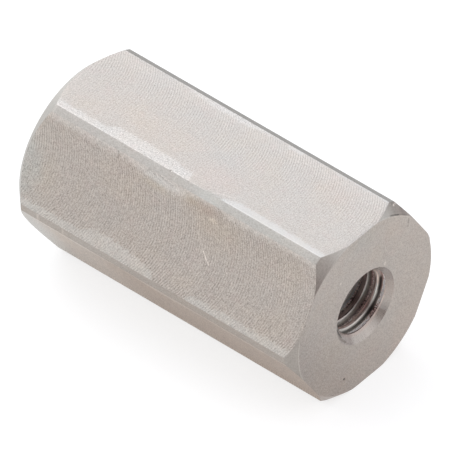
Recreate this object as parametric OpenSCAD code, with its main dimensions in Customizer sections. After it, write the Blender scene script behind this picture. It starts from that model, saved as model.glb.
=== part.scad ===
// Long hexagon coupling nut, tapped right through, lying on one of its flats.
//
// Frame: millimetres, +Z up. The origin is on the thread's axis, halfway
// between the two end faces. The thread's axis is X, and the end with the
// lighter chamfer is the +X end. One flat faces straight up and the one
// opposite faces straight down, so the nut rests on the plane
// z = -across_flats / 2.
//
// The thread itself is too fine to be worth its facets here: the bore is the
// plain cylinder of the thread's minor diameter, which is its true inner wall.

/* [Hexagon bar] */
// Width across two opposite flats, which is the spanner size
across_flats = 14; // [12:0.5:19]
// Length from end face to end face
body_length = 27; // [15:0.5:60]
// Width of the narrow flat land that breaks each of the six long edges
edge_land = 0.61; // [0.2:0.01:1]

/* [End chamfers] */
// Chamfer of the +X end at the long edges, the same along as across
front_chamfer = 0.75; // [0.4:0.01:1.6]
// Chamfer of the -X end at the long edges, the same along as across
rear_chamfer = 1.28; // [0.4:0.01:1.6]

/* [Tapped bore] */
// Nominal (outer) diameter of the thread
thread_major_d = 6; // [4:0.5:8]
// Pitch of the thread, one turn to the next
thread_pitch = 1; // [0.5:0.05:1.25]
// How much wider the countersunk mouths are than the thread's outer diameter
mouth_oversize = 0.2; // [0.1:0.05:0.6]
// Included angle of the two countersinks in degrees
countersink_angle = 100; // [80:1:120]

/* [Hidden] */
// Circles carry over as true curves
$fn = 96;
// How far a cutting shape runs past the face that it cuts
past = 1;

// Distance from the axis to a flat, and to the land on a long edge
flat_r = across_flats / 2;
land_r = across_flats / sqrt(3) - edge_land / (2 * sqrt(3));

// Radii of the two round end faces, inside the 45 degree chamfers
front_face_r = land_r - front_chamfer;
rear_face_r = land_r - rear_chamfer;

// Tap drill radius, which is the thread's minor radius
bore_r = (thread_major_d - thread_pitch) / 2;
// Radius of the countersink where it meets the end face, and its depth
mouth_r = (thread_major_d + mouth_oversize) / 2;
countersink_depth = (mouth_r - bore_r) / tan(countersink_angle / 2);

half = body_length / 2;

// Section of the bar: a hexagon with a second one, turned by 30 degrees,
// taking a narrow land off each of its corners. Flats face -X and +X here.
module bar_section() {
    intersection() {
        rotate(30) circle(r = flat_r / cos(30), $fn = 6);
        circle(r = land_r / cos(30), $fn = 6);
    }
}

// What the lathe leaves: both end faces and their 45 degree chamfers, which
// run out past the bar's widest corner.
module turned_envelope() {
    out_r = land_r + past;
    rotate_extrude()
        polygon([
            [0, -half],
            [rear_face_r, -half],
            [out_r, -half + (out_r - rear_face_r)],
            [out_r, half - (out_r - front_face_r)],
            [front_face_r, half],
            [0, half]
        ]);
}

// The bore and its two countersunk mouths, as one turned shape.
module tapped_bore() {
    wide_r = mouth_r + past * tan(countersink_angle / 2);
    rotate_extrude()
        polygon([
            [0, -half - past],
            [wide_r, -half - past],
            [bore_r, -half + countersink_depth],
            [bore_r, half - countersink_depth],
            [wide_r, half + past],
            [0, half + past]
        ]);
}

// The whole nut, one piece of steel.
module coupling_nut() {
    color([0.78, 0.77, 0.74])
    rotate([0, 90, 0])
    difference() {
        intersection() {
            translate([0, 0, -half - past])
                linear_extrude(height = body_length + 2 * past)
                    bar_section();
            turned_envelope();
        }
        tapped_bore();
    }
}

coupling_nut();
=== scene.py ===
import math

import bpy
import numpy as np
from mathutils import Matrix, Vector


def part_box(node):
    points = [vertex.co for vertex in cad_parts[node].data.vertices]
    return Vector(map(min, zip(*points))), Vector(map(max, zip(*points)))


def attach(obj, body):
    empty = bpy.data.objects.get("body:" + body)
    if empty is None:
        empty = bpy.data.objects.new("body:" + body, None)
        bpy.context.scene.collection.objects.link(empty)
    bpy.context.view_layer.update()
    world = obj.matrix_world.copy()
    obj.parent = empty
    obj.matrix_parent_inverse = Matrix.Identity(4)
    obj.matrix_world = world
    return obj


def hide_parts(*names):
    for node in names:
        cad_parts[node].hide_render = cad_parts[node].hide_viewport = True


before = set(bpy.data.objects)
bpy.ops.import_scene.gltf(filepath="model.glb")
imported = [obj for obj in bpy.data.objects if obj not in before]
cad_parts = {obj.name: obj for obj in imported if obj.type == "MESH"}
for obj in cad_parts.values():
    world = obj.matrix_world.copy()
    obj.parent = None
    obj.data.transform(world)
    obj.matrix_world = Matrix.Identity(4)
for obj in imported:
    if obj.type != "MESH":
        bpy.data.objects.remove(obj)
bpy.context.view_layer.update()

# ---------------------------------------------------------------- dimensions
# Everything below is in millimetres until the mesh is finished. The outer
# sizes come from the frame; the rest repeats the construction's own values.
MM = 0.001
node_lo, node_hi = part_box("coupling_nut")
HALF = (node_hi.x - node_lo.x) / 2 / MM          # half the length, 13.5
FLAT_R = node_hi.z / MM                          # axis to a flat, 7.0
LAND_R = node_hi.y / MM                          # axis to a long edge's land
FRONT_FACE_R = LAND_R - 0.75                     # near end, 45 degree chamfer
REAR_FACE_R = LAND_R - 1.28                      # far end, 45 degree chamfer
PITCH = 1.0
START = 0.57 - 1.0                               # where the thread's turn begins
MAJOR_R = 3.0
BORE_R = 2.5
MOUTH_R = 3.1
MOUTH_TAN = math.tan(math.radians(50))           # 100 degree countersink
MOUTH_DEPTH = (MOUTH_R - BORE_R) / MOUTH_TAN
EDGE = 0.02                                      # softness of the outer edges


def collection_link(obj):
    bpy.context.scene.collection.objects.link(obj)
    return obj


def mesh_object(name, verts, faces):
    me = bpy.data.meshes.new(name)
    me.from_pydata([tuple(v) for v in verts], [], [tuple(f) for f in faces])
    me.update()
    return collection_link(bpy.data.objects.new(name, me))


# ------------------------------------------------------------ outer surface
def section():
    """The bar's rounded twelve-sided section: a list of (polar angle, radius).
    Angle 0 is the flat that faces up, and a quarter turn on is -Y."""
    dist = [(FLAT_R if k % 2 == 0 else LAND_R) - EDGE for k in range(12)]
    ang = [math.radians(30 * k) for k in range(12)]
    corner = []
    for k in range(12):
        a, b = (k - 1) % 12, k
        m = np.array([[math.sin(ang[a]), math.cos(ang[a])],
                      [math.sin(ang[b]), math.cos(ang[b])]])
        corner.append(np.linalg.solve(m, np.array([dist[a], dist[b]])))
    pts = []
    for k in range(12):
        start = ang[k] - math.radians(30)
        for i in range(4):
            t = start + math.radians(30) * i / 3
            pts.append(corner[k] + EDGE * np.array([math.sin(t), math.cos(t)]))
        first = pts[-1]
        nxt = corner[(k + 1) % 12] + EDGE * np.array(
            [math.sin(ang[k]), math.cos(ang[k])])
        steps = 18 if k % 2 == 0 else 3
        for i in range(1, steps):
            pts.append(first + (nxt - first) * i / steps)
    out = [(math.atan2(p[0], p[1]) % (2 * math.pi), math.hypot(*p)) for p in pts]
    i0 = min(range(len(out)), key=lambda i: out[i][0])
    return out[i0:] + out[:i0]


def end_profile(rho, face_r):
    """(distance from the end plane, radius) from the flat to the end face for
    one column of the bar, with soft edges."""
    k = EDGE
    if rho > face_r + 0.586 * k:
        v1 = (k * math.sqrt(2) - k + rho - face_r, rho - k)
        v2 = (k, face_r - (math.sqrt(2) - 1) * k)
        cone = 4
    else:
        v1 = v2 = (k, rho - k)
        cone = 4
    pts = []
    for i in range(4):
        t = math.radians(90 - 45 * i / 3)
        pts.append((v1[0] - k * math.cos(t), v1[1] + k * math.sin(t)))
    a = pts[-1]
    b = (v2[0] - k * math.cos(math.radians(45)), v2[1] + k * math.sin(math.radians(45)))
    for i in range(1, cone):
        pts.append((a[0] + (b[0] - a[0]) * i / cone, a[1] + (b[1] - a[1]) * i / cone))
    for i in range(4):
        t = math.radians(45 - 45 * i / 3)
        pts.append((v2[0] - k * math.cos(t), v2[1] + k * math.sin(t)))
    return pts


def bar():
    cols = section()
    grid = []
    rows = 60
    for phi, rho in cols:
        near = end_profile(rho, FRONT_FACE_R)
        far = end_profile(rho, REAR_FACE_R)
        line = [(-HALF + d, r) for d, r in reversed(far)]
        x0, x1 = line[-1][0], HALF - near[0][0]
        line += [(x0 + (x1 - x0) * i / rows, rho) for i in range(1, rows)]
        line += [(HALF - d, r) for d, r in near]
        grid.append([(x, -r * math.sin(phi), r * math.cos(phi)) for x, r in line])
    n, m = len(cols), len(grid[0])
    verts = [p for line in grid for p in line]
    faces = []
    for i in range(n):
        j = (i + 1) % n
        for k in range(m - 1):
            faces.append((i * m + k, i * m + k + 1, j * m + k + 1, j * m + k))
    faces.append([i * m + m - 1 for i in range(n)])
    faces.append([i * m for i in reversed(range(n))])
    obj = mesh_object("bar", verts, faces)
    import bmesh
    bm = bmesh.new()
    bm.from_mesh(obj.data)
    bmesh.ops.remove_doubles(bm, verts=bm.verts, dist=2e-4)
    bmesh.ops.dissolve_degenerate(bm, edges=bm.edges, dist=1e-4)
    bmesh.ops.recalc_face_normals(bm, faces=bm.faces)
    bm.to_mesh(obj.data)
    bm.free()
    return obj


# ------------------------------------------------------------------- thread
def thread_profile():
    """(axial place, radius) once along a pitch, for the metal that the tap
    leaves: a flat root, 60 degree flanks and a crest with worn edges."""
    root = PITCH / 16
    crest = root + (MAJOR_R - BORE_R) * math.tan(math.radians(30))
    soft = 0.035
    half = [(0.0, MAJOR_R), (root, MAJOR_R),
            (root + (crest - root) * 0.3, MAJOR_R - 0.15),
            (root + (crest - root) * 0.65, MAJOR_R - 0.325),
            (crest - soft * 0.5, BORE_R + soft * 0.866),
            (crest + soft * 0.25, BORE_R + soft * 0.2),
            (crest + soft, BORE_R)]
    full = half + [(0.5 * PITCH, BORE_R)]
    full += [(PITCH - s, r) for s, r in reversed(half[1:])]
    return full


def screw(columns=128):
    """What the tap cuts away: a rod with the thread's form on it, longer than
    the nut. Right-hand: it moves along +X as it turns right-handed about +X."""
    prof = thread_profile()
    per = len(prof)
    turns = int(2 * HALF / PITCH) + 4
    rows = [(-HALF - 2.0 + START + PITCH * (q // per) + prof[q % per][0], prof[q % per][1])
            for q in range(per * turns + 1)]
    n, m = columns, len(rows)
    verts = []
    for i in range(n):
        phi = 2 * math.pi * i / n
        for x, r in rows:
            verts.append((x + PITCH * i / n, -r * math.sin(phi), r * math.cos(phi)))
    faces = []
    for i in range(n - 1):
        for k in range(m - 1):
            faces.append((i * m + k, i * m + k + 1, (i + 1) * m + k + 1, (i + 1) * m + k))
    for k in range(m - 1 - per):
        faces.append(((n - 1) * m + k, (n - 1) * m + k + 1, k + 1 + per, k + per))
    hi = [i * m + m - 1 for i in range(n)] + [(n - 1) * m + k for k in range(m - 2, m - 2 - per, -1)]
    c_hi, c_lo = len(verts), len(verts) + 1
    verts.append((rows[-1][0] + 0.2, 0, 0))
    verts.append((rows[0][0] - 0.2 + PITCH, 0, 0))
    loop_hi = hi
    for a, b in zip(loop_hi, loop_hi[1:] + loop_hi[:1]):
        faces.append((a, c_hi, b))
    # the low rim: once round row 0, then up column 0 to close on the last one
    loop_lo = [i * m for i in range(n)] + [k for k in range(per, 0, -1)]
    for a, b in zip(loop_lo, loop_lo[1:] + loop_lo[:1]):
        faces.append((b, c_lo, a))
    obj = mesh_object("screw", verts, faces)
    import bmesh
    bm = bmesh.new()
    bm.from_mesh(obj.data)
    bmesh.ops.recalc_face_normals(bm, faces=bm.faces)
    bad = [e for e in bm.edges if len(e.link_faces) != 2]
    print("screw: open edges", len(bad))
    bm.to_mesh(obj.data)
    bm.free()
    return obj


def cone(sign, columns=128):
    """The countersink's cutting cone at one end."""
    past = 1.0
    wide = MOUTH_R + past * MOUTH_TAN
    ring = [(HALF + past, wide), (HALF - MOUTH_DEPTH - 0.9, BORE_R - 0.9 * MOUTH_TAN)]
    verts, faces = [], []
    for i in range(columns):
        phi = 2 * math.pi * (i + 0.5) / columns
        for x, r in ring:
            verts.append((sign * x, -r * math.sin(phi), r * math.cos(phi)))
    for i in range(columns):
        j = (i + 1) % columns
        faces.append((2 * i, 2 * i + 1, 2 * j + 1, 2 * j))
    faces.append([2 * i for i in range(columns)])
    faces.append([2 * i + 1 for i in reversed(range(columns))])
    obj = mesh_object("cone", verts, faces)
    import bmesh
    bm = bmesh.new()
    bm.from_mesh(obj.data)
    bmesh.ops.recalc_face_normals(bm, faces=bm.faces)
    bm.to_mesh(obj.data)
    bm.free()
    return obj


def cut(target, tool):
    mod = target.modifiers.new("cut", "BOOLEAN")
    mod.operation = "DIFFERENCE"
    mod.object = tool
    mod.solver = "MANIFOLD"
    dg = bpy.context.evaluated_depsgraph_get()
    dg.update()
    me = bpy.data.meshes.new_from_object(target.evaluated_get(dg))
    target.modifiers.clear()
    old = target.data
    target.data = me
    bpy.data.meshes.remove(old)
    bpy.data.objects.remove(tool)


def nicks():
    """Small dents along the edges: each is a squashed ball that bites into the
    metal from outside. (x, polar angle in degrees, how far out, half sizes
    along, across and inward)"""
    spots = [
        (-1.32, 27.8, 7.96, .15, .13, .10), (0.60, 27.9, 8.00, .07, .07, .07),
        (-10.60, 87.6, 7.99, .11, .10, .11), (-8.20, 88.2, 7.98, .08, .08, .09),
        (-5.74, 34.2, 7.97, .06, .16, .08), (6.3, 93.0, 7.99, .10, .08, .09),
        (-12.35, 66.0, 7.86, .10, .10, .10), (13.14, -26.2, 7.72, .10, .14, .10),
        (4.2, -32.6, 7.99, .12, .07, .08), (-6.8, 152.0, 7.99, .15, .09, .09),
        (8.8, 207.5, 7.99, .10, .08, .09), (-3.6, 268.2, 7.99, .12, .08, .09),
        (2.1, 272.0, 7.99, .08, .06, .08), (-9.4, 332.4, 7.99, .10, .07, .08),
    ]
    verts, faces = [], []
    for x, deg, r, a, b, c in spots:
        t = math.radians(deg)
        out = np.array([0.0, -math.sin(t), math.cos(t)])
        side = np.array([0.0, -math.cos(t), -math.sin(t)])
        mid = np.array([x, 0, 0]) + out * r
        base, n, m = len(verts), 10, 6
        verts.append(tuple(mid + out * c))
        for i in range(1, m):
            p = math.pi * i / m
            for j in range(n):
                q = 2 * math.pi * (j + 0.3) / n
                wob = 1.0 + 0.14 * math.sin(3 * q + deg)
                verts.append(tuple(mid + np.array([1.0, 0, 0]) * a * wob * math.sin(p) * math.cos(q)
                                   + side * b * wob * math.sin(p) * math.sin(q) + out * c * math.cos(p)))
        verts.append(tuple(mid - out * c))
        last = len(verts) - 1
        for j in range(n):
            k = (j + 1) % n
            faces.append((base, base + 1 + j, base + 1 + k))
            for i in range(m - 2):
                s = base + 1 + i * n
                faces.append((s + j, s + n + j, s + n + k, s + k))
            faces.append((last, last - n + k, last - n + j))
    obj = mesh_object("nicks", verts, faces)
    import bmesh
    bm = bmesh.new()
    bm.from_mesh(obj.data)
    bmesh.ops.recalc_face_normals(bm, faces=bm.faces)
    bm.to_mesh(obj.data)
    bm.free()
    return obj


nut = bar()
for tool in (screw(), cone(1), cone(-1), nicks()):
    cut(nut, tool)
nut.name = "coupling_nut_steel"
nut.data.name = "coupling_nut_steel"
nut.data.transform(Matrix.Scale(MM, 4))

import bmesh
bm = bmesh.new()
bm.from_mesh(nut.data)
bmesh.ops.remove_doubles(bm, verts=bm.verts, dist=1e-7)
bad = [e for e in bm.edges if len(e.link_faces) != 2]
tris = sum(len(f.verts) - 2 for f in bm.faces)
print("nut: open edges", len(bad), "faces", len(bm.faces), "triangles", tris, "volume mm3", bm.calc_volume() * 1e9)
bm.to_mesh(nut.data)
bm.free()

for p in nut.data.polygons:
    p.use_smooth = True
nut.data.set_sharp_from_angle(angle=math.radians(28))
wn = nut.modifiers.new("normals", "WEIGHTED_NORMAL")
wn.keep_sharp = True
wn.weight = 100

# ---------------------------------------------------------------- materials
BASE = (0.378, 0.345, 0.314)
FEED = 0.218                                     # the milling cutter's feed
SWEEP_R = 6.0                                    # radius of the cutter's arcs
HALF_FLAT = 2 * (LAND_R - FLAT_R * math.cos(math.radians(30)))


class F:
    """A number in a node tree: a constant, or what a socket gives. Sums and
    products of them make Math nodes."""

    def __init__(self, net, s):
        self.net, self.s = net, s

    def __add__(a, b): return a.net.math("ADD", a, b)
    def __radd__(a, b): return a.net.math("ADD", b, a)
    def __sub__(a, b): return a.net.math("SUBTRACT", a, b)
    def __rsub__(a, b): return a.net.math("SUBTRACT", b, a)
    def __mul__(a, b): return a.net.math("MULTIPLY", a, b)
    def __rmul__(a, b): return a.net.math("MULTIPLY", b, a)
    def __truediv__(a, b): return a.net.math("DIVIDE", a, b)
    def __rtruediv__(a, b): return a.net.math("DIVIDE", b, a)
    def __neg__(a): return a.net.math("MULTIPLY", a, -1.0)


class Net:
    """One metal material, with short names for its nodes. Lengths are in
    millimetres and angles in radians."""

    def __init__(self, name):
        self.mat = bpy.data.materials.new(name)
        self.mat.use_nodes = True
        self.tree = self.mat.node_tree
        self.bsdf = [n for n in self.tree.nodes if n.type == "BSDF_PRINCIPLED"][0]
        self.bsdf.inputs["Metallic"].default_value = 1.0
        where = self.put("ShaderNodeTexCoord").outputs["Object"]
        grow = self.put("ShaderNodeVectorMath", operation="SCALE")
        self.tree.links.new(where, grow.inputs[0])
        grow.inputs["Scale"].default_value = 1 / MM
        self.p = grow.outputs[0]
        apart = self.put("ShaderNodeSeparateXYZ")
        self.tree.links.new(self.p, apart.inputs[0])
        self.x, self.y, self.z = (F(self, o) for o in apart.outputs)
        self.r = self.math("SQRT", self.y * self.y + self.z * self.z)
        self.phi = self.math("ARCTAN2", -self.y, self.z)

    def put(self, kind, **props):
        node = self.tree.nodes.new(kind)
        for k, v in props.items():
            setattr(node, k, v)
        return node

    def plug(self, socket, value):
        if isinstance(value, F):
            value = value.s
        if isinstance(value, bpy.types.NodeSocket):
            self.tree.links.new(value, socket)
        else:
            socket.default_value = value

    def math(self, op, *args, clamp=False):
        node = self.put("ShaderNodeMath", operation=op, use_clamp=clamp)
        for i, v in enumerate(args):
            self.plug(node.inputs[i], v)
        return F(self, node.outputs[0])

    def vec(self, x, y, z=0.0):
        node = self.put("ShaderNodeCombineXYZ")
        for i, v in enumerate((x, y, z)):
            self.plug(node.inputs[i], v)
        return node.outputs[0]

    def noise(self, where, scale, detail=2.0, rough=0.5, stretch=0.0):
        """Noise about 0, from roughly -0.5 to 0.5."""
        node = self.put("ShaderNodeTexNoise", noise_dimensions="3D")
        self.plug(node.inputs["Vector"], where)
        node.inputs["Scale"].default_value = scale
        node.inputs["Detail"].default_value = detail
        node.inputs["Roughness"].default_value = rough
        node.inputs["Distortion"].default_value = stretch
        out = [o for o in node.outputs if o.type == "VALUE"][0]
        return F(self, out) - 0.5

    def step(self, v, lo, hi):
        """0 below lo and 1 above hi, smooth between; or the other way round
        where lo is the greater."""
        node = self.put("ShaderNodeMapRange", interpolation_type="SMOOTHSTEP")
        flip = lo > hi
        self.plug(node.inputs[0], v)
        for i, c in enumerate((min(lo, hi), max(lo, hi), float(flip), float(not flip))):
            node.inputs[i + 1].default_value = c
        return F(self, node.outputs[0])

    def bell(self, v, at, wide):
        t = (v - at) * (1.0 / wide)
        return self.math("EXPONENT", -(t * t))

    def curve(self, v, points, top=2.0):
        """A broken line through (x, value) points, along the nut's length."""
        node = self.put("ShaderNodeFloatCurve")
        self.plug(node.inputs["Value"], (v + HALF) * (0.5 / HALF))
        line = node.mapping.curves[0]
        pts = [((x + HALF) / (2 * HALF), y / top) for x, y in points]
        line.points[0].location, line.points[1].location = pts[0], pts[-1]
        for q in pts[1:-1]:
            line.points.new(*q)
        for q in line.points:
            q.handle_type = "VECTOR"
        node.mapping.update()
        return F(self, node.outputs[0]) * top

    def tint(self, colour, by, amount):
        """colour, times by where amount is 1."""
        node = self.put("ShaderNodeMix", data_type="RGBA", blend_type="MULTIPLY")
        node.clamp_factor = True
        self.plug(node.inputs[0], amount)
        self.plug(node.inputs[6], colour)
        self.plug(node.inputs[7], (*by, 1.0))
        return node.outputs[2]

    def shade(self, colour, gain):
        """colour times the number gain."""
        node = self.put("ShaderNodeVectorMath", operation="SCALE")
        self.plug(node.inputs[0], colour)
        self.plug(node.inputs["Scale"], gain)
        return node.outputs[0]

    def rgb(self, colour):
        node = self.put("ShaderNodeRGB")
        node.outputs[0].default_value = (*colour, 1.0)
        return node.outputs[0]

    def finish(self, colour, roughness, height):
        """height is in millimetres."""
        self.plug(self.bsdf.inputs["Base Color"], colour)
        self.plug(self.bsdf.inputs["Roughness"], roughness)
        bump = self.put("ShaderNodeBump")
        bump.inputs["Strength"].default_value = 1.0
        bump.inputs["Distance"].default_value = MM
        self.plug(bump.inputs["Height"], height)
        self.tree.links.new(bump.outputs[0], self.bsdf.inputs["Normal"])
        return self.mat


def hues(net, where, colour, amount=1.0):
    """Soft patches of slightly different hue, as on bare machined steel."""
    warm = net.noise(where, 0.33, 2.0, 0.55)
    pink = net.noise(where, 0.9, 2.0, 0.6, 0.4)
    colour = net.tint(colour, (1.015, 1.0, 0.975), net.step(warm, -0.02, 0.22) * amount)
    colour = net.tint(colour, (0.985, 1.0, 1.01), net.step(warm, 0.02, -0.22) * amount)
    colour = net.tint(colour, (1.015, 0.99, 0.995), net.step(pink, 0.03, 0.20) * amount)
    small = net.noise(where, 2.7, 1.0, 0.6)
    colour = net.tint(colour, (1.008, 0.997, 0.994), net.step(small, 0.0, 0.20) * amount)
    colour = net.tint(colour, (0.995, 1.0, 1.005), net.step(small, 0.0, -0.20) * amount)
    return colour


def flats():
    net = Net("milled_flats")
    x = net.x
    sixth = math.radians(60)
    turn = net.math("ROUND", net.phi * (1 / sixth))
    k = net.math("MODULO", turn + 6.0, 6.0)
    d = net.phi - turn * sixth
    u = net.r * net.math("SINE", d)
    flat = [net.math("COMPARE", k, float(i), 0.4) for i in range(6)]
    here = net.vec(x, u, k * 9.7)

    # the cutter's arcs, one each feed, bulging towards +X
    wander = net.noise(here, 1.6, 2.0) * 0.030
    v = u - 0.3
    sag = SWEEP_R - net.math("SQRT", SWEEP_R * SWEEP_R - v * v)
    ph = (x + sag + wander) * (1 / FEED) + k * 0.37
    wave = net.math("COSINE", ph * (2 * math.pi))
    strand = net.noise(net.vec(ph, u * 0.55, k * 5.3), 1.1, 1.0, 0.4)
    dash = net.noise(net.vec(ph, u * 2.8, k * 5.3 + 2.0), 1.5, 1.0, 0.5)
    swell = net.noise(here, 0.55, 1.0, 0.5)
    side = net.math("ABSOLUTE", u)
    # how plain the arcs are: on the top flat at one side of it, on the others
    # towards both edges
    on_top = net.step(u, 1.9, -3.9) * 0.088 + net.bell(x, 0.4, 1.7) * net.bell(u, 0.3, 1.3) * 0.026 + 0.024
    others = (net.step(u, -0.3, -2.2) * 0.030 + net.step(u, 0.9, 2.6) * 0.008 + net.step(u, 2.2, 3.4) * 0.095
              + net.step(x, -7.5, -9.5) * net.step(u, 0.0, -1.0) * 0.030 + net.bell(x, -0.3, 1.4) * 0.022 + 0.066)
    plain_of = flat[0] * on_top + (1.0 - flat[0]) * others
    lines = wave * (1.0 + swell * 1.8) * plain_of + strand * 0.08 + dash * (0.15 - flat[0] * 0.02)
    calm = (1.0 - flat[0]) * net.step(x, -8.0, -10.5) * net.step(u, 0.6, -0.8)

    # smooth strips along the long edges that the cutter left alone
    plus = {
        0: [(-13.5, .58), (-7.9, .55), (-7.2, 1.05), (-4.5, 1.12), (-1.4, 1.0),
            (-0.9, .8), (0.1, .86), (0.27, 0), (3.35, 0), (3.6, .22), (4.6, .57),
            (7, .58), (10, .50), (13.5, .42)],
        1: [(-13.5, .55), (-6.8, .6), (-6.1, 1.05), (-4, 1.2), (-2.4, 1.08), (-1.2, .86),
            (0.0, .58), (0.27, 0), (3.3, 0), (3.7, .45), (5, .55), (13.5, .64)],
    }
    minus = {
        0: [(-13.5, .25), (-11, .06), (-6.5, .08), (-5.5, .26), (-2.9, .42),
            (0, .40), (1.7, .1), (3.3, .05), (3.6, .32), (4.6, .3), (5, .06),
            (13.5, .12)],
        1: [(-13.5, .50), (-12, .40), (-5.8, .34), (-5.6, .24), (-4.2, .38),
            (-3, .48), (-1.5, .70), (-0.3, .84), (0.9, .55), (1.9, .14), (3.9, .1),
            (4.4, .32), (5.5, .36), (8.5, .28), (11, .20), (13.5, .2)],
    }
    rows = {}
    for name, table in (("plus", plus), ("minus", minus)):
        for i, pts in table.items():
            rows[name, i, 1] = net.curve(x, pts)
            rows[name, i, -1] = net.curve(-x, pts)
    # (flat, its +u edge, its -u edge)
    plan = [(0, ("plus", 0, 1), ("minus", 0, 1)), (1, ("plus", 1, 1), ("minus", 1, 1)),
            (2, ("minus", 0, -1), ("minus", 1, -1)), (3, ("plus", 0, -1), ("minus", 0, -1)),
            (4, ("plus", 1, -1), ("minus", 1, -1)), (5, ("minus", 1, 1), ("plus", 0, -1))]
    wide_p, wide_m = 0.0, 0.0
    for i, a, b in plan:
        wide_p = flat[i] * rows[a] + wide_p
        wide_m = flat[i] * rows[b] + wide_m
    low = net.noise(here, 1.3, 2.0, 0.6) * 0.26
    teeth = dash * (0.55 + flat[1] * 0.35) + net.noise(here, 7.0, 1.0) * 0.25 + wave * 0.05
    left_p = net.step(HALF_FLAT - u + low + teeth - wide_p, 0.06, -0.06)
    left_m = net.step(HALF_FLAT + u + low + teeth * 1.2 - wide_m, 0.16, -0.16)
    smooth = net.math("MAXIMUM", left_p * net.step(wide_p, 0.02, 0.10),
                      left_m * net.step(wide_m, 0.02, 0.10))
    # far end: a fringe where the front flat is tinted greener and bluer
    fringe = net.step(x + low * 2.0 + net.math("ABSOLUTE", u - 1.0) * 0.6, -10.5, -11.9)

    along = x + sag
    grain = net.noise(net.vec(along * 12.0, u * 5.6, k * 9.7), 1.0, 1.0, 0.6)
    fine = net.noise(net.vec(x * 14.0, u * 14.0, k * 9.7), 1.0, 0.0)
    coarse = net.noise(here, 2.4, 2.0, 0.55)
    cloud = net.noise(here, 0.5, 2.0, 0.5)
    silky = flat[0] * net.step(x, 3.0, 5.0)
    quiet = (0.76 - flat[0] * 0.05 + flat[1] * 0.045 + flat[2] * 0.25 - silky * net.step(u, 1.4, 2.4) * 0.10
             + smooth * (flat[0] * 0.42 - silky * 0.65 - 0.12))
    speckle = (grain * 0.92 + fine * 0.95) * (quiet - calm * 0.08)

    colour = net.rgb(BASE)
    colour = hues(net, here, colour, 0.70)
    colour = hues(net, net.vec(x + 31.0, u, k * 9.7), colour, 0.45)
    # painted light: the top flat alone tinted cooler, a lit copy of the same steel
    colour = net.tint(colour, (1.010, 1.019, 1.035), flat[0])

    def patch(i, x0, u0, wx, wu, by, much=1.0):
        nonlocal colour
        m = flat[i] * net.bell(x, x0, wx) * net.bell(u, u0, wu) * much
        colour = net.tint(colour, by, m)

    patch(0, -6.5, 1.5, 6.0, 2.2, (1.02, 0.995, 0.975))
    patch(0, 9.6, -2.2, 2.0, 1.1, (1.015, 0.992, 0.99))
    patch(0, 1.8, 2.2, 2.0, 1.3, (1.025, 0.99, 0.99))
    patch(0, 0.6, -0.4, 1.6, 1.4, (0.985, 1.0, 1.01))
    patch(0, 2.6, 3.75, 1.2, 0.30, (0.84, 0.875, 0.88))
    patch(1, 1.2, -3.15, 0.9, 0.35, (0.95, 0.92, 0.87))
    patch(1, 2.9, -3.10, 0.9, 0.42, (0.95, 0.90, 0.885))
    patch(1, 3.5, -2.62, 0.36, 0.17, (1.24, 1.24, 1.20))
    patch(1, -4.6, -3.05, 2.2, 0.5, (1.04, 1.06, 1.06))
    patch(1, 8.8, -2.9, 2.8, 0.8, (0.955, 0.955, 0.96))
    patch(1, 4.5, -2.3, 2.4, 1.0, (1.010, 0.985, 0.945))
    patch(1, -2.0, -2.75, 1.3, 0.30, (1.03, 1.01, 0.96))
    patch(1, -1.5, -3.25, 1.6, 0.30, (1.05, 1.07, 1.09))
    patch(1, -4.8, -3.0, 1.3, 0.60, (0.99, 0.95, 0.94))
    patch(1, -12.6, 1.0, 2.2, 4.5, (1.01, 1.03, 1.03))
    # painted light: the lower flat made lighter than the others, and lighter and cooler towards its far end, a painted
    # reflection of the open floor there
    colour = net.tint(colour, (1.09, 1.08, 1.05), flat[2])
    patch(2, -13.0, 0.0, 2.0, 9.0, (1.01, 1.07, 1.11))
    # a warm Specular Tint on all flats; on the lower flat it also darkens and warms towards the near end, a painted
    # reflection of the shaded floor under the nut
    edge_tint_and_painted_reflection = net.rgb((0.93, 0.89, 0.86))
    edge_tint_and_painted_reflection = net.tint(edge_tint_and_painted_reflection, (1.0753, 1.1236, 1.1628), flat[2])
    edge_tint_and_painted_reflection = net.tint(edge_tint_and_painted_reflection, (0.936, 0.883, 0.857), flat[2] * net.step(x, -12.3, -8.5))
    edge_tint_and_painted_reflection = net.tint(edge_tint_and_painted_reflection, (0.810, 0.761, 0.739), flat[2] * net.step(x, -7.6, -1.0))
    edge_tint_and_painted_reflection = net.tint(edge_tint_and_painted_reflection, (0.961, 0.954, 0.951), flat[2] * net.step(u, -1.0, 3.4))
    net.plug(net.bsdf.inputs["Specular Tint"], edge_tint_and_painted_reflection)
    colour = net.tint(colour, (0.985, 1.03, 1.055), fringe * flat[1])

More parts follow.
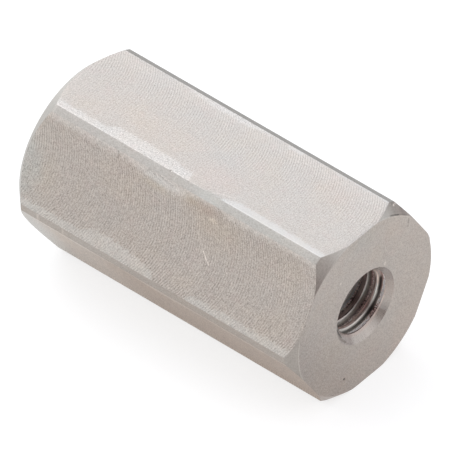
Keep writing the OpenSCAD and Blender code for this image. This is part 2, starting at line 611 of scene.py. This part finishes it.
    # single marks: (flat, from, to, half width, gain)
    marks = [
        (1, (3.57, -.24), (3.98, .16), .040, .68), (1, (3.98, .16), (4.37, .46), .036, .60),
        (1, (2.66, -1.28), (3.57, -.24), .045, .12), (1, (3.52, -.86), (3.66, -.60), .05, .22),
        (1, (9.60, -.30), (9.90, .42), .05, .08),
        (1, (-2.94, -3.66), (-2.29, -3.44), .040, -.20), (1, (-2.29, -3.44), (-1.70, -3.28), .036, -.18),
        (1, (-1.92, -3.64), (-1.26, -3.47), .036, -.20), (1, (-1.26, -3.47), (-.57, -3.41), .036, -.15),
        (1, (-1.75, -3.66), (-.80, -3.50), .036, .10), (1, (-2.13, -3.04), (-1.75, -2.94), .04, -.14),
        (1, (-5.80, -3.64), (-5.69, -3.15), .055, -.24), (1, (3.30, -3.72), (4.05, -3.46), .05, -.18),
        (1, (-1.40, -2.50), (-.50, -2.44), .05, .10), (1, (-.58, -3.22), (.75, -3.38), .05, .06),
        (0, (2.22, 3.72), (2.75, 3.36), .050, .10), (0, (2.75, 3.36), (3.80, 2.99), .050, .12),
        (0, (3.80, 2.99), (4.40, 2.93), .05, .05), (0, (1.05, 3.70), (2.05, 3.68), .055, .13),
        (0, (-4.2, 3.66), (-3.3, 3.55), .07, -.10),
    ]
    scars = 0.0
    for i, a, b, wide, much in marks:
        dx, du = b[0] - a[0], b[1] - a[1]
        far = dx * dx + du * du
        t = net.math("MULTIPLY", (x - a[0]) * dx + (u - a[1]) * du, 1.0 / far, clamp=True)
        ex, eu = x - a[0] - t * dx, u - a[1] - t * du
        near = net.math("EXPONENT", (ex * ex + eu * eu) * (-1.0 / wide ** 2))
        scars = near * flat[i] * much + scars

    # a bright, worn line right on the top flat's edge
    rim = flat[0] * net.step(u, HALF_FLAT - 0.11, HALF_FLAT - 0.03) * net.step(net.math("ABSOLUTE", x - 2.3), 0.9, 1.5)
    plain = 1.0 - smooth * (0.50 + flat[0] * 0.35)
    edge_light = flat[0] * net.step(u, -2.2, -3.3) * 0.05
    gain = 1.0 + lines * plain + speckle + coarse * 0.09 + cloud * 0.05 + edge_light + rim * 0.10 + scars
    colour = net.shade(colour, gain)
    colour = net.tint(colour, (1.095, 1.122, 1.145), smooth * flat[0])
    colour = net.tint(colour, (0.997, 1.010, 1.020), smooth * silky)
    colour = net.tint(colour, (1.18, 1.215, 1.24), smooth * (1.0 - flat[0]))
    colour = net.tint(colour, (0.955, 0.965, 0.965), smooth * (1.0 - flat[0]) * net.step(u, 1.0, 2.5))

    rough = 0.38 + grain * 0.08 - smooth * 0.03
    height = lines * 0.0040 * plain + speckle * 0.0004 + coarse * 0.0004 + scars * 0.003
    return net.finish(colour, rough, height)


def lands():
    net = Net("edge_lands")
    streak = net.noise(net.vec(net.x * 0.25, net.y * 3.0, net.z * 3.0), 2.0, 2.0)
    grain = net.noise(net.p, 9.0, 1.0, 0.6)
    coarse = net.noise(net.p, 2.4, 2.0, 0.6)
    colour = hues(net, net.p, net.rgb((0.378, 0.350, 0.322)), 0.6)
    edge = net.math("FLOOR", (net.phi + 2 * math.pi) * (3 / math.pi))
    edge = net.math("MODULO", edge, 6.0)
    here = {i: net.math("COMPARE", edge, float(i), 0.4) for i in (0, 1, 5)}
    across = net.phi - math.radians(30)
    # painted shade: the land between the front and lower flats tinted darker and warmer, and the land on the +Y side of
    # the top flat darker
    colour = net.tint(colour, (0.928, 0.893, 0.867), here[1])
    colour = net.tint(colour, (0.835, 0.85, 0.848), here[5])
    # the edge beside the top flat: rubbed bare on one stretch
    rubbed = here[0] * net.bell(net.x, 2.5, 1.3)
    colour = net.tint(colour, (1.07, 1.10, 1.11), rubbed)
    colour = net.tint(colour, (1.0, 1.015, 1.015), here[0] * net.bell(net.x, 7.5, 4.0))
    # notches and dark stretch of the edge on the -Y side
    colour = net.tint(colour, (1.058, 1.076, 1.087), here[1] * net.step(net.x, 0.0, -6.0))
    notch = net.bell(net.x, -10.60, 0.10) + net.bell(net.x, -8.20, 0.08) * 0.7
    speck = here[0] * net.bell(net.x, -0.71, 0.05) * net.bell(across, 0.012, 0.010) * 0.25
    gain = 1.0 + grain * 0.62 + coarse * 0.12 + streak * 0.10 + notch * here[1] * 0.28 + speck
    colour = net.shade(colour, gain)
    return net.finish(colour, 0.38 + grain * 0.1, grain * 0.001 + streak * 0.001)


def chamfers():
    net = Net("turned_chamfers")
    ring = net.math("SINE", net.x * (2 * math.pi / 0.12))
    grain = net.noise(net.p, 7.0, 2.0, 0.6)
    coarse = net.noise(net.p, 1.3, 2.0, 0.5)
    far = net.step(net.x, 1.0, -1.0)
    near = 1.0 - far
    side = net.math("ABSOLUTE", net.phi)
    # masks for painted light and shade by side: lighter beside the top flat, more so on its +Y half, a darker band from
    # about 35 to 70 degrees either side, darker and warmer where the chamfer faces the floor
    painted_light_upper = net.step(side, 0.56, 0.32)
    painted_shade_lower = net.step(side, 0.60, 0.70) * net.step(side, 1.2, 1.0)
    painted_light_plus_y = net.step(net.phi, 0.0, -0.1) * painted_light_upper
    painted_shade_floorward = net.step(side, 2.0, 2.3)
    # painted shade: the chamfers darkened to 0.81 of the base colour; further below the far chamfer is also painted
    # lighter, and cooler on its top and -Y side
    colour = net.rgb(tuple(c * 0.81 for c in BASE))
    colour = net.tint(colour, (0.985, 1.03, 1.05), painted_light_upper * near)
    colour = net.tint(colour, (1.0, 0.965, 0.965), (painted_shade_lower + net.step(net.phi, -0.45, -0.65)) * near)
    colour = net.tint(colour, (0.98, 0.88, 0.84), painted_shade_floorward * near)
    colour = net.tint(colour, (1.01, 1.05, 1.05), far * net.step(net.phi, -0.55, -0.15) * net.step(net.phi, 2.0, 1.7))
    # painted shadow beside the burr, near the end face
    colour = net.tint(colour, (0.87, 0.845, 0.85),
                      net.bell(net.phi, math.radians(-37.5), math.radians(3.2)) * net.step(net.x, 13.02, 13.15))

    def spot(deg, wide, at, size, much):
        return net.bell(net.phi, math.radians(deg), math.radians(wide)) * net.bell(net.x, at, size) * much

    # painted light in the gain: the far chamfer and the part beside the top flat lighter, its +Y half more so; the band
    # either side and a stretch on the +Y side darker; a lighter band at the horizontal sides; bright specks at the burr
    # are painted glints
    gain = (1.02 + far * 0.20 + painted_light_upper * 0.22 + painted_light_plus_y * near * 0.14 - painted_shade_lower * near * 0.07
            - net.step(net.phi, -0.40, -0.52) * net.step(net.phi, -0.80, -0.70) * near * 0.10
            + net.step(side, 1.32, 1.42) * net.step(side, 1.85, 1.70) * near * 0.04
            + spot(-30.6, 0.60, 12.93, 0.050, 1.40) + spot(-32.4, 0.8, 12.86, 0.050, 0.80)
            - spot(-29.8, 0.6, 12.88, 0.045, 0.35) - spot(-36.5, 1.0, 13.08, 0.05, 0.28)
            + grain * 0.5 + coarse * 0.14 + ring * 0.015)
    # the corner at the end face: a painted highlight along the rim, stronger on the sides of the bar, a torn burr in
    # one place, and a painted shadow beside it
    rim = net.step(net.x, HALF - 0.075, HALF - 0.035)
    burr = (net.step(net.phi, math.radians(-23.5), math.radians(-25.0))
            * net.step(net.phi, math.radians(-33.5), math.radians(-32.0)))
    shadow = net.bell(net.phi, math.radians(-37), math.radians(5))
    painted_highlight_side_rim = net.step(side, 1.30, 1.42) * net.step(side, 2.05, 1.90)
    gain = (gain + rim * (0.07 + painted_highlight_side_rim * 0.16)
            - net.bell(net.x - net.step(net.phi, math.radians(-27), math.radians(-32)) * 0.02, HALF - 0.065, 0.032)
            * (burr * 0.66 + shadow * 0.22))
    colour = net.shade(colour, gain)
    return net.finish(colour, 0.32 + grain * 0.06, ring * 0.0003 + grain * 0.001)


def end_faces():
    net = Net("turned_end_faces")
    ring = net.math("SINE", net.r * (2 * math.pi / 0.14))
    band = net.noise(net.vec(net.r, 0.0, 0.0), 2.6, 3.0, 0.7)
    grain = net.noise(net.p, 8.5, 1.0, 0.65)
    coarse = net.noise(net.p, 2.4, 2.0, 0.6)
    colour = hues(net, net.p, net.rgb(tuple(c * f for c, f in zip(BASE, (1.01, 0.997, 1.0)))), 0.8)
    cool = net.bell(net.y, 0.0, 1.5) * net.bell(net.z, 6.3, 0.9)
    colour = net.tint(colour, (0.965, 1.0, 1.01), cool)
    colour = net.tint(colour, (1.03, 1.015, 1.0), net.step(net.y, 1.8, 3.8) * net.step(net.x, 0.0, 1.0))
    # painted light: the face a little lighter towards the top and more towards the bottom, the bottom also tinted
    # warmer below
    low = net.step(net.z, -2.0, -5.0)
    painted_light_high = net.step(net.z, 2.0, 5.0)
    y, z = net.y, net.z
    marks = [
        ((-2.52, 4.03), (-2.50, 4.08), .065, .45), ((2.18, 2.50), (2.24, 2.64), .06, .60),
        ((4.86, 4.96), (4.77, 4.34), .045, -.42), ((2.88, -1.16), (2.94, -1.24), .06, .20),
        ((3.05, 6.48), (4.05, 5.86), .045, .16), ((4.05, 5.86), (5.05, 5.02), .045, .14),
        ((-2.51, -5.32), (-2.50, -5.33), .085, -.95), ((-6.40, 2.80), (-6.42, 2.74), .07, -.40),
        ((-3.40, -3.20), (-3.05, -3.62), .05, .10), ((-4.40, -1.60), (-4.10, -2.10), .05, .08),
        ((-1.20, 5.60), (-1.00, 5.64), .05, -.12), ((3.60, 1.90), (3.66, 1.96), .05, .10),
    ]
    scars = 0.0
    for a, b, wide, much in marks:
        dy, dz = b[0] - a[0], b[1] - a[1]
        far = dy * dy + dz * dz
        t = net.math("MULTIPLY", (y - a[0]) * dy + (z - a[1]) * dz, 1.0 / far, clamp=True)
        ey, ez = y - a[0] - t * dy, z - a[1] - t * dz
        near = net.math("EXPONENT", (ey * ey + ez * ez) * (-1.0 / wide ** 2))
        scars = near * much + scars
    scars = scars * net.step(net.x, 0.0, 1.0)
    colour = net.tint(colour, (1.0, 0.985, 0.98), low)
    # painted shade: the near face up to 16.5% darker towards -Y and -Z, slightly warmer there
    painted_shade_low_side = net.step(y * -0.8 - z * 0.6, 2.6, 7.0) * net.step(net.x, 0.0, 1.0)
    beside = net.bell(y, 2.2, 0.9) * net.bell(z, -2.0, 1.8)
    colour = net.tint(colour, (1.0, 0.985, 0.985), painted_shade_low_side)
    gain = (1.0 - painted_shade_low_side * 0.165 + beside * 0.05 + low * 0.04 + painted_light_high * 0.02 + grain * 0.78 + coarse * 0.12 + band * 0.05
            + ring * 0.012 + scars)
    colour = net.shade(colour, gain)
    return net.finish(colour, 0.36 + grain * 0.1, grain * 0.0012 + band * 0.001 + ring * 0.0002 + scars * 0.004)


def mouths():
    net = Net("countersinks")
    ring = net.noise(net.vec(net.r, 0.0, 0.0), 14.0, 2.0, 0.6)
    about = net.vec(net.math("COSINE", net.phi) * 2.5, net.math("SINE", net.phi) * 2.5, net.r * 0.6)
    round_ = net.noise(about, 0.9, 2.0, 0.6)
    rays = net.noise(net.vec(net.math("COSINE", net.phi) * 16.0, net.math("SINE", net.phi) * 16.0, net.r * 0.8), 1.0, 2.0, 0.6)
    grain = net.noise(net.p, 8.0, 2.0, 0.6)
    turn = net.math("MODULO", net.phi + 2 * math.pi, 2 * math.pi)

    def at(deg, wide):
        return net.bell(turn, math.radians(deg), math.radians(wide))

    def between(a, b, c, d):
        return net.step(turn, math.radians(a), math.radians(b)) * net.step(turn, math.radians(d), math.radians(c))

    colour = net.rgb(tuple(c * f for c, f in zip(BASE, (0.945, 0.945, 0.955))))
    inner = net.step(net.r, BORE_R + 0.22, BORE_R + 0.10)
    colour = net.tint(colour, (1.03, 0.97, 0.96), inner)
    # painted light and shade by angle around the countersink: tinted and darker sectors, a lighter sector, a painted
    # highlight near the bore on one side, and a painted shaded line by the outer rim
    colour = net.tint(colour, (1.05, 1.0, 0.985), at(262, 22))
    colour = net.tint(colour, (1.0, 0.965, 0.975), between(112, 119, 150, 158))
    colour = net.tint(colour, (1.0, 0.965, 0.975), between(262, 290, 308, 326))
    colour = net.tint(colour, (1.0, 0.955, 0.925), between(203, 221, 225, 228))
    gain = (1.0 + ring * 0.14 + grain * 0.3 + round_ * 0.16 + rays * 0.22
            - between(203, 221, 225, 228) * 0.27 + at(185, 12) * 0.03
            - between(112, 119, 150, 158) * 0.19 - at(146, 3.5) * 0.06 - at(137, 2.5) * 0.08
            - between(258, 286, 308, 322) * 0.16 + between(314, 328, 348, 356) * 0.40
            + net.step(net.r, BORE_R + 0.15, BORE_R + 0.09) * between(206, 214, 242, 252) * 0.40
            - net.bell(net.r, MOUTH_R - 0.05, 0.022) * between(270, 278, 314, 324) * 0.14)
    colour = net.shade(colour, gain)
    return net.finish(colour, 0.28 + grain * 0.05, ring * 0.0015 + grain * 0.0006)


def threads():
    net = Net("tapped_thread")
    # place along the pitch: 0 in the root, 0.5 on the crest; past 0.65 the
    # flank that looks out of the nearer mouth
    raw = net.math("FRACT", (net.x + (HALF + 2.0 - START + 40.0)) * (1 / PITCH) - net.phi * (0.5 / math.pi))
    out = net.step(net.x, -0.5, 0.5)
    place = raw * out + (1.0 - raw) * (1.0 - out)
    deep = net.math("ABSOLUTE", net.x)
    first = net.step(deep, 11.45, 11.75)             # the first crest and beyond
    mouth = net.step(deep, 12.15, 12.35)             # the groove at the mouth
    third = net.step(deep, 10.95, 10.8)              # the third groove and on
    lip = place + first * 0.08
    crest = net.step(place, 0.31, 0.37) * net.step(lip, 0.685, 0.66)
    flank = net.step(lip, 0.655, 0.69) * net.step(place, 0.90, 0.84)
    root = 1.0 - net.math("MAXIMUM", crest, flank, clamp=True)
    runout = net.step(deep, HALF - 0.35, HALF - 0.12)
    root = root * (1.0 - runout)
    floor_line = net.bell(net.math("FRACT", place + 0.5), 0.47, 0.085)
    turn = net.math("MODULO", net.phi + 2 * math.pi, 2 * math.pi)
    # a painted shadow sector around 217 degrees, used in the tints and gain below
    dark = net.bell(turn, math.radians(217), math.radians(12))
    grain = net.noise(net.p, 10.0, 1.0, 0.65)
    torn = net.noise(net.vec(net.x * 3.0, net.phi * 9.0, net.r * 3.0), 1.0, 3.0, 0.6)
    colour = net.rgb((0.62, 0.58, 0.55))
    colour = net.tint(colour, (0.78, 0.80, 0.78), flank)
    colour = net.tint(colour, (0.80, 0.68, 0.67), crest)
    colour = net.tint(colour, (1.0, 0.95, 0.965), root)
    bare = runout * (1.0 - net.math("MAXIMUM", crest, flank, clamp=True))
    colour = net.tint(colour, (0.56, 0.55, 0.53), bare)
    # angular sectors that place the painted highlights and shade below
    sector = net.step(turn, math.radians(178), math.radians(190)) * net.step(turn, math.radians(236), math.radians(226))
    later = 1.0 - first
    painted_light_upper = net.step(turn, math.radians(244), math.radians(254)) * net.step(turn, math.radians(325), math.radians(310))
    crown = painted_light_upper * net.step(turn, math.radians(266), math.radians(276))
    top = painted_light_upper * net.step(turn, math.radians(275), math.radians(284))
    groove = painted_light_upper * net.step(turn, math.radians(282), math.radians(272))
    inward = net.step(turn, math.radians(245), math.radians(251)) * net.step(turn, math.radians(267), math.radians(261))
    edge_dark = net.step(turn, math.radians(183), math.radians(190)) * net.step(turn, math.radians(212), math.radians(204))
    # painted light and shade on the thread, by depth, angle and place along the pitch: painted highlights on the crest
    # edges and flanks, stronger at the first crest and in the mouth's groove, painted shade in the grooves and sectors
    painted_light_and_shade = (1.0 + crest * first * (0.40 + sector * 0.30) + root * mouth * 1.05
           + first * (net.bell(place, 0.61, 0.035) * (0.75 - sector * 0.30) - net.bell(place, 0.785, 0.065) * 0.60
                      + net.bell(place, 0.53, 0.045) * (0.8 - sector * 1.7))
           + first * painted_light_upper * (net.bell(place, 0.605, 0.04) * 1.7 + net.bell(place, 0.88, 0.06) * 0.22
                              - net.bell(place, 0.725, 0.04) * (0.20 + groove * 0.25))
           + first * (crown * net.bell(place, 0.645, 0.045) * 0.8 + top * net.bell(place, 0.79, 0.06) * 0.75)
           - first * groove * (net.bell(place, 0.465, 0.040) * 0.95 + net.bell(place, 0.79, 0.03) * 0.25)
           - later * (1.0 - third) * (net.bell(place, 0.86, 0.05) * inward * 0.45
                                      + net.bell(place, 0.655, 0.028) * edge_dark * 0.60)
           + third * net.bell(turn, math.radians(216), math.radians(13)) * net.step(place, 0.68, 0.74) * net.step(place, 0.97, 0.93) * 1.5
           + later * (net.bell(place, 0.795, 0.035) * 0.55 - net.bell(place, 0.895, 0.03) * (1.0 - third) * 0.40
                      - net.bell(place, 0.625, 0.035) * 0.70)
           + third * (net.bell(place, 0.835, 0.060) * 1.25 - net.bell(place, 0.70, 0.035) * 0.45 - root * 0.42))
    streak = net.bell(net.x - turn * (0.5 / math.pi), 11.27, 0.16) * net.bell(turn, math.radians(215), math.radians(8))
    thin = net.bell(net.math("FRACT", place + 0.5), 0.50, 0.022) * mouth * net.bell(turn, math.radians(212), math.radians(16))
    gain = (1.0 + grain * (0.3 + root * 2.6) + torn * (0.2 + root * 2.0)
            + floor_line * 0.45 + streak * 1.7 - thin * 0.6
            - dark * (0.14 + root * 0.70 + later * (1.0 - root) * 0.30 + first * flank * 0.30)
            - crest * net.bell(deep, 12.94, 0.045) * 0.6) * painted_light_and_shade
    # painted shade: the lip at the near mouth made dark on its -Y and lower side
    painted_shade_lip = (net.step(net.x, 13.08, 13.16) * net.step(turn, math.radians(78), math.radians(90))
               * net.step(turn, math.radians(152), math.radians(146)))
    colour = net.tint(colour, (0.42, 0.395, 0.385), painted_shade_lip)
    colour = net.tint(colour, (0.80, 0.78, 0.76), net.step(deep, 13.0, 13.3) * (1.0 - painted_shade_lip))
    # tints of the painted shadow sector, of the painted highlight on the third crest, and warmer painted highlights in
    # the upper sector
    colour = net.tint(colour, (1.0, 0.88, 0.88), dark * (1.0 - flank * 0.6))
    colour = net.tint(colour, (0.94, 1.06, 1.02), third * net.bell(place, 0.84, 0.06))
    warm = first * painted_light_upper * net.step(turn, math.radians(258), math.radians(268))
    colour = net.tint(colour, (1.02, 0.82, 0.77), warm * net.bell(place, 0.63, 0.10))
    colour = net.tint(colour, (1.02, 0.80, 0.79), first * painted_light_upper * net.bell(place, 0.835, 0.075))
    colour = net.shade(colour, net.math("MAXIMUM", gain, 0.12))
    rough = 0.36 + root * 0.42 + crest * 0.22 + grain * 0.1
    return net.finish(colour, rough, (grain * 0.010 + torn * 0.010) * root + grain * 0.001)


ZONES = [flats(), lands(), chamfers(), end_faces(), mouths(), threads()]
nut.data.materials.clear()
for m in ZONES:
    nut.data.materials.append(m)


def zone_of(centre, normal):
    x, y, z = (c / MM for c in centre)
    r = math.hypot(y, z)
    ax = abs(x)
    if r < 4.2 and abs(normal[0]) < 0.999:
        on_cone = abs(r - (MOUTH_R - (HALF - ax) * MOUTH_TAN)) < 0.012
        return 4 if on_cone and ax > HALF - MOUTH_DEPTH - 0.02 else 5
    if abs(normal[0]) > 0.93:
        return 3
    if abs(normal[0]) > 0.35:
        return 2
    phi = math.degrees(math.atan2(-y, z)) % 60
    off = min(phi, 60 - phi)
    return 0 if r * math.sin(math.radians(off)) < HALF_FLAT + 0.02 else 1


for p in nut.data.polygons:
    p.material_index = zone_of(p.center, p.normal)

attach(nut, "root")
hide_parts("coupling_nut")

# -------------------------------------------------------------------- stage
me = bpy.data.meshes.new("floor")
r = 3.0
z = -FLAT_R * MM
me.from_pydata([(-r, -r, z), (r, -r, z), (r, r, z), (-r, r, z)], [], [(0, 1, 2, 3)])
floor = collection_link(bpy.data.objects.new("floor", me))
fmat = bpy.data.materials.new("floor")
fmat.use_nodes = True
fb = [n for n in fmat.node_tree.nodes if n.type == "BSDF_PRINCIPLED"][0]
fb.inputs["Base Color"].default_value = (0.42, 0.42, 0.42, 1)
fb.inputs["Roughness"].default_value = 0.9
fb.inputs["Specular IOR Level"].default_value = 0.0
fb.inputs["Emission Color"].default_value = (1, 1, 1, 1)
fb.inputs["Emission Strength"].default_value = 0.68
me.materials.append(fmat)

# A light tent: a white sky, a little brighter on some sides than on others
world = bpy.data.worlds.new("studio")
bpy.context.scene.world = world
world.use_nodes = True
wt = world.node_tree
bg = wt.nodes["Background"]
bg.inputs["Strength"].default_value = 1.0
AMBIENT = (0.380, 0.385, 0.414)
TENT = [
    # azimuth, elevation, half width, colour times strength
    (0, 8, 26, (0.134, 0.129, 0.132)),
    (40, 8, 26, (0.849, 0.843, 0.845)),
    (80, 8, 26, (0.319, 0.328, 0.337)),
    (120, 8, 26, (-0.180, -0.161, -0.140)),
    (160, 8, 26, (0.704, 0.723, 0.739)),
    (200, 8, 26, (0.673, 0.675, 0.675)),
    (240, 8, 26, (0.743, 0.709, 0.687)),
    (280, 8, 26, (0.325, 0.302, 0.285)),
    (320, 8, 26, (0.062, 0.046, 0.038)),
    (10, 45, 26, (0.847, 0.836, 0.835)),
    (60, 45, 26, (-0.160, -0.176, -0.180)),
    (100, 45, 26, (0.081, 0.095, 0.116)),
    (135, 45, 26, (1.130, 1.167, 1.208)),
    (175, 45, 26, (1.241, 1.282, 1.314)),
    (215, 50, 26, (0.326, 0.367, 0.390)),
    (265, 45, 26, (-0.087, -0.099, -0.111)),
    (315, 45, 26, (0.051, 0.024, 0.007)),
    (0, 88, 26, (-0.175, -0.180, -0.180)),
]
ray = wt.nodes.new("ShaderNodeTexCoord").outputs["Generated"]
total = wt.nodes.new("ShaderNodeVectorMath")
total.operation = "ADD"
total.inputs[0].default_value = AMBIENT
ambient = total
tent_nodes = []
for az, el, wide, colour in TENT:
    a, e = math.radians(az), math.radians(el)
    tight = math.log(2.0) / (1.0 - math.cos(math.radians(wide)))
    dot = wt.nodes.new("ShaderNodeVectorMath")
    dot.operation = "DOT_PRODUCT"
    wt.links.new(ray, dot.inputs[0])
    dot.inputs[1].default_value = (math.cos(e) * math.cos(a), math.cos(e) * math.sin(a), math.sin(e))
    fall = wt.nodes.new("ShaderNodeMath")
    fall.operation = "MULTIPLY_ADD"
    wt.links.new(dot.outputs["Value"], fall.inputs[0])
    fall.inputs[1].default_value = tight
    fall.inputs[2].default_value = -tight
    glow = wt.nodes.new("ShaderNodeMath")
    glow.operation = "EXPONENT"
    wt.links.new(fall.outputs[0], glow.inputs[0])
    panel = wt.nodes.new("ShaderNodeVectorMath")
    panel.operation = "SCALE"
    panel.inputs[0].default_value = colour
    wt.links.new(glow.outputs[0], panel.inputs["Scale"])
    tent_nodes.append(panel)
    add = wt.nodes.new("ShaderNodeVectorMath")
    add.operation = "ADD"
    wt.links.new(total.outputs[0], add.inputs[0])
    wt.links.new(panel.outputs[0], add.inputs[1])
    total = add
wt.links.new(total.outputs[0], bg.inputs["Color"])

# ------------------------------------------------------------------- camera
cam_data = bpy.data.cameras.new("camera")
cam_data.sensor_width = 36.0
cam_data.lens = 36.0 * 15833.811 / 450.0
cam_data.clip_start = 0.05
cam_data.clip_end = 20.0
cam = collection_link(bpy.data.objects.new("camera", cam_data))
# right, down and forward of the camera in the row frame, and its place
RIGHT = Vector((0.7524053909303448, 0.6580878972889522, -0.028398012972048577))
DOWN = Vector((0.4373350167551554, -0.5313235669892351, -0.7255572687814544))
AHEAD = Vector((-0.49256899092281786, 0.5334937549809194, -0.6875755977182696))
UNIT = 14.0 / math.sqrt(3.0) * MM
place = -(RIGHT * -0.025144481886374158 + DOWN * -0.018724034919597614
          + AHEAD * 139.71999552113158) * UNIT
cam.matrix_world = Matrix((
    (RIGHT.x, -DOWN.x, -AHEAD.x, place.x),
    (RIGHT.y, -DOWN.y, -AHEAD.y, place.y),
    (RIGHT.z, -DOWN.z, -AHEAD.z, place.z),
    (0, 0, 0, 1)))
bpy.context.scene.camera = cam
bpy.context.scene.view_settings.view_transform = "Standard"
